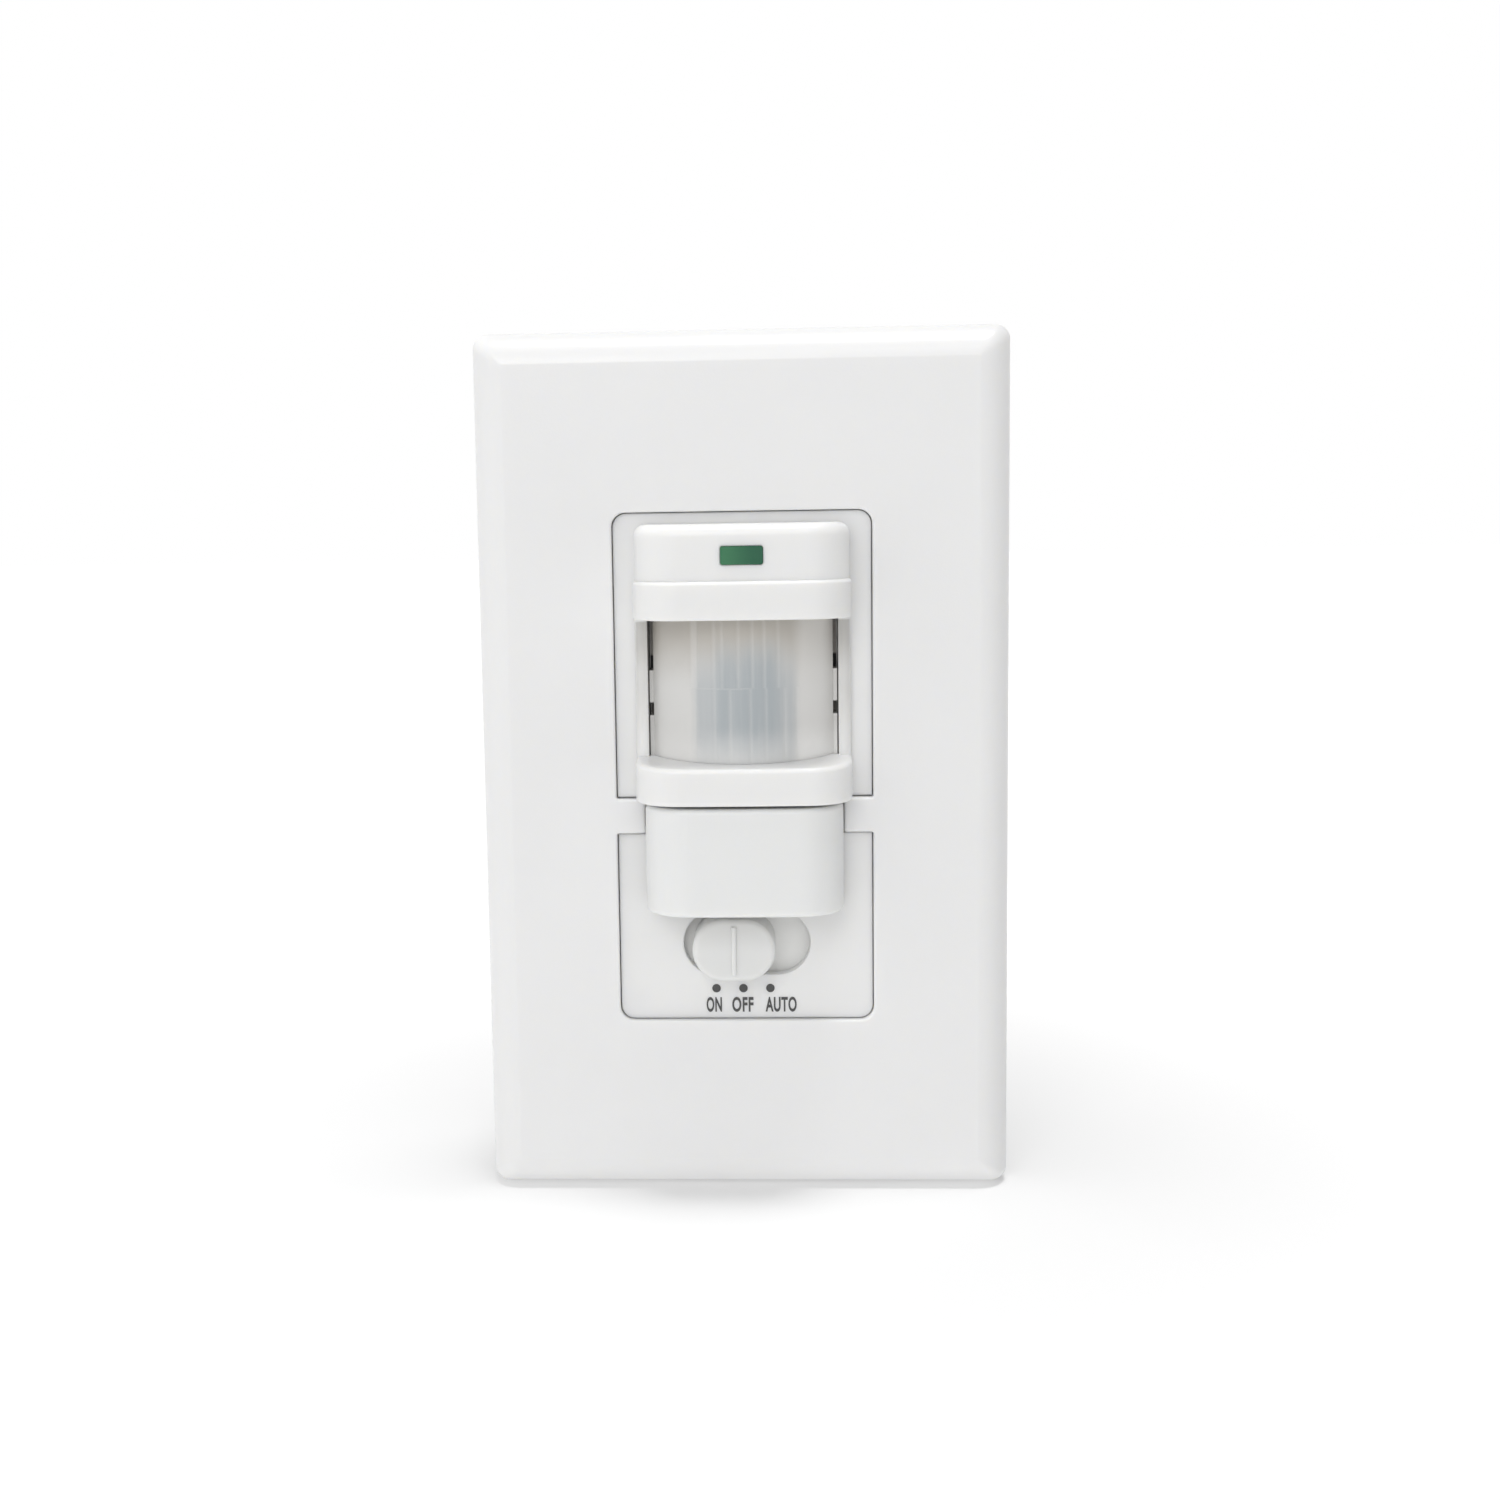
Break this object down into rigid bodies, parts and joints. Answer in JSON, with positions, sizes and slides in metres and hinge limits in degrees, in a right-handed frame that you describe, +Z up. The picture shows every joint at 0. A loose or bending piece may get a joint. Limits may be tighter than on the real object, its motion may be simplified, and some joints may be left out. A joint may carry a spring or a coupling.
{
  "type": "occupancy sensor switch",
  "caption": "Wall-switch occupancy sensor with a curved lens between a hood and a ledge, a swing-away control cover, an oval slide switch and a screwless wall plate.",
  "frame": {"origin": "on the wall plane, midway between the two box screws, which is the centre of the wall plate's outline", "axes": "+X right as seen from the room, +Y into the wall, +Z up"},
  "size_m": [0.0698, 0.0446, 0.1142],
  "materials": {
    "plate_plastic": "smooth gloss",
    "device_plastic": "satin",
    "cover_plastic": "satin",
    "knob_plastic": "satin",
    "shutter_plastic": "satin",
    "lens_plastic": "ribbed, translucent",
    "window_plastic": "green, translucent",
    "frame_plastic": "matte black",
    "adapter_plastic": "satin",
    "housing_plastic": "fine grain",
    "strap_steel": "zinc plated",
    "screw_steel": "zinc plated",
    "ground_green": "green dye",
    "terminal_brass": "bare",
    "retainer_fibre": "red fibre",
    "film_plastic": "thin film",
    "board_laminate": "solder mask",
    "nylon": "natural",
    "header_plastic": "matte",
    "detector_metal": "bright can",
    "photocell_resin": "clear coat",
    "lamp_resin": "diffuse",
    "dial_plastic": "satin",
    "trimmer_plastic": "satin",
    "relay_plastic": "satin",
    "film_box": "satin",
    "can_sleeve": "shrunk sleeve",
    "varistor_coat": "epoxy"
  },
  "bodies": {
    "base": {"wall_plate": "plate_plastic", "plate_adapter": "adapter_plastic", "adapter_screws": "screw_steel", "mounting_strap": "strap_steel", "box_screws": "screw_steel", "screw_retainers": "retainer_fibre", "ground_screw": "ground_green", "front_housing": "device_plastic", "lens": "lens_plastic", "lens_frame": "frame_plastic", "led_window": "window_plastic", "status_led": "lamp_resin", "switch_body": "frame_plastic", "time_trimmer": "trimmer_plastic", "light_trimmer": "trimmer_plastic", "range_trimmer": "trimmer_plastic", "sensor_board": "board_laminate", "pir_detector": "detector_metal", "photocell": "photocell_resin", "insulating_sheet": "film_plastic", "rear_housing": "housing_plastic", "housing_screws": "screw_steel", "power_board": "board_laminate", "board_header": "header_plastic", "board_spacers": "nylon", "relay": "relay_plastic", "film_capacitor": "film_box", "filter_capacitor": "can_sleeve", "varistor": "varistor_coat", "line_terminal": "terminal_brass", "load_terminal": "terminal_brass", "line_screw": "terminal_brass", "load_screw": "terminal_brass"},
    "cover": {"control_cover": "cover_plastic"},
    "mode_switch": {"slide_knob": "knob_plastic", "dust_shutter": "shutter_plastic", "switch_slider": "header_plastic"},
    "time_setting": {"time_dial": "dial_plastic"},
    "light_setting": {"light_dial": "dial_plastic"},
    "range_setting": {"range_dial": "dial_plastic"}
  },
  "joints": [
    {"name": "cover_hinge", "type": "hinge", "parent": "base", "child": "cover", "pos_m": [-0.0115, -0.0077, -0.0111], "axis": [0, 0, -1], "range_deg": [0, 95]},
    {"name": "mode_slide", "type": "slide", "parent": "base", "child": "mode_switch", "axis": [1, 0, 0], "range_m": [0, 0.0033]},
    {"name": "time_turn", "type": "hinge", "parent": "base", "child": "time_setting", "pos_m": [-0.00525, -0.0106, -0.0111], "axis": [0, 1, 0], "range_deg": [-135, 135]},
    {"name": "light_turn", "type": "hinge", "parent": "base", "child": "light_setting", "pos_m": [0.00075, -0.0106, -0.0111], "axis": [0, 1, 0], "range_deg": [-135, 135]},
    {"name": "range_turn", "type": "hinge", "parent": "base", "child": "range_setting", "pos_m": [0.00675, -0.0106, -0.0111], "axis": [0, 1, 0], "range_deg": [-135, 135]}
  ]
}
